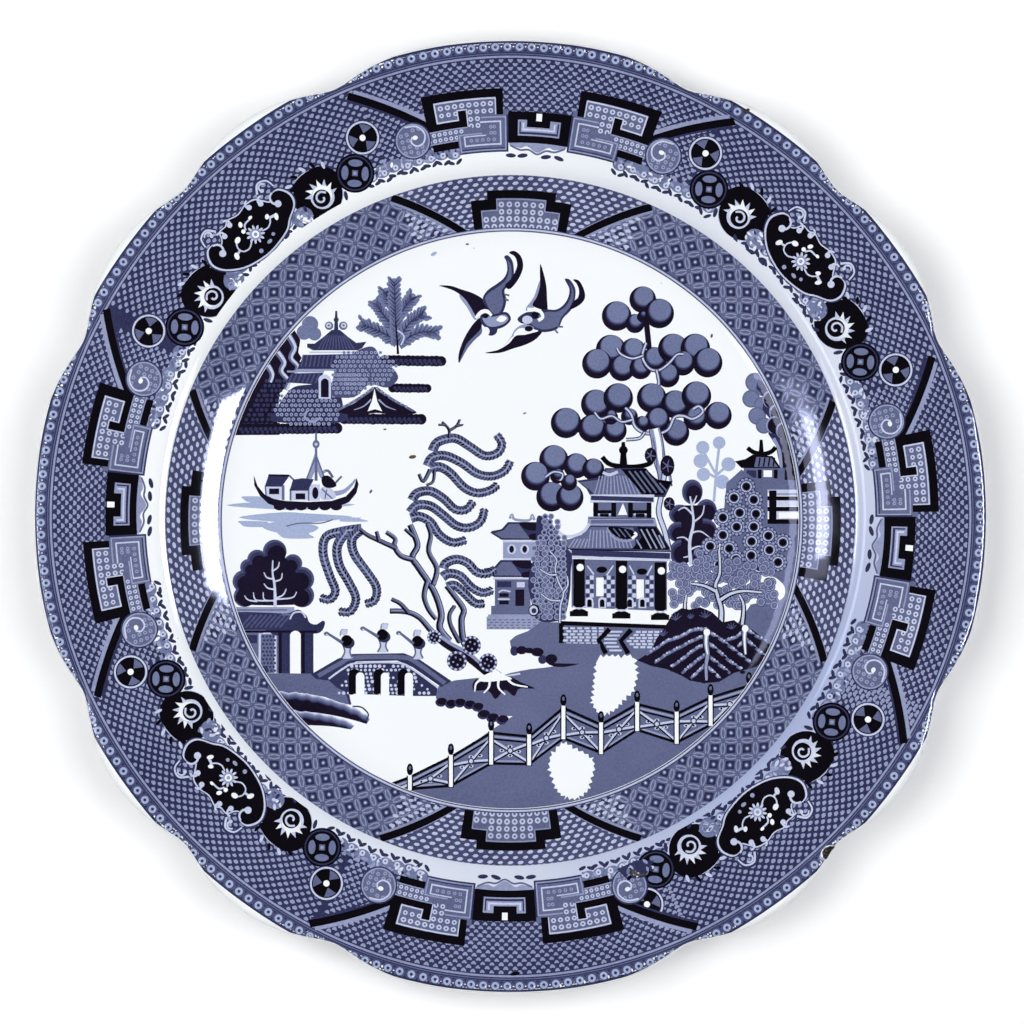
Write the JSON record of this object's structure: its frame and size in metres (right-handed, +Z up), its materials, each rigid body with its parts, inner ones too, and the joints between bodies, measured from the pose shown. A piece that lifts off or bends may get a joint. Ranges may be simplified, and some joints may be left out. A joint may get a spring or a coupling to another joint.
{
  "type": "lobed dinner plate",
  "caption": "Round dinner plate with a lobed, notched rim, a shallow well and a foot ring, in white earthenware printed in blue under a clear glaze.",
  "frame": {"origin": "centre of the foot ring, on the plane that the plate stands on", "axes": "+Z up through the middle of the well, +Y towards the top of the printed landscape, +X to its right"},
  "size_m": [0.254, 0.254, 0.0226],
  "materials": {
    "glaze": "gloss",
    "print_dark": "gloss",
    "print_mid": "gloss",
    "print_pale": "gloss"
  },
  "bodies": {
    "root": {"plate": "glaze"}
  },
  "joints": []
}
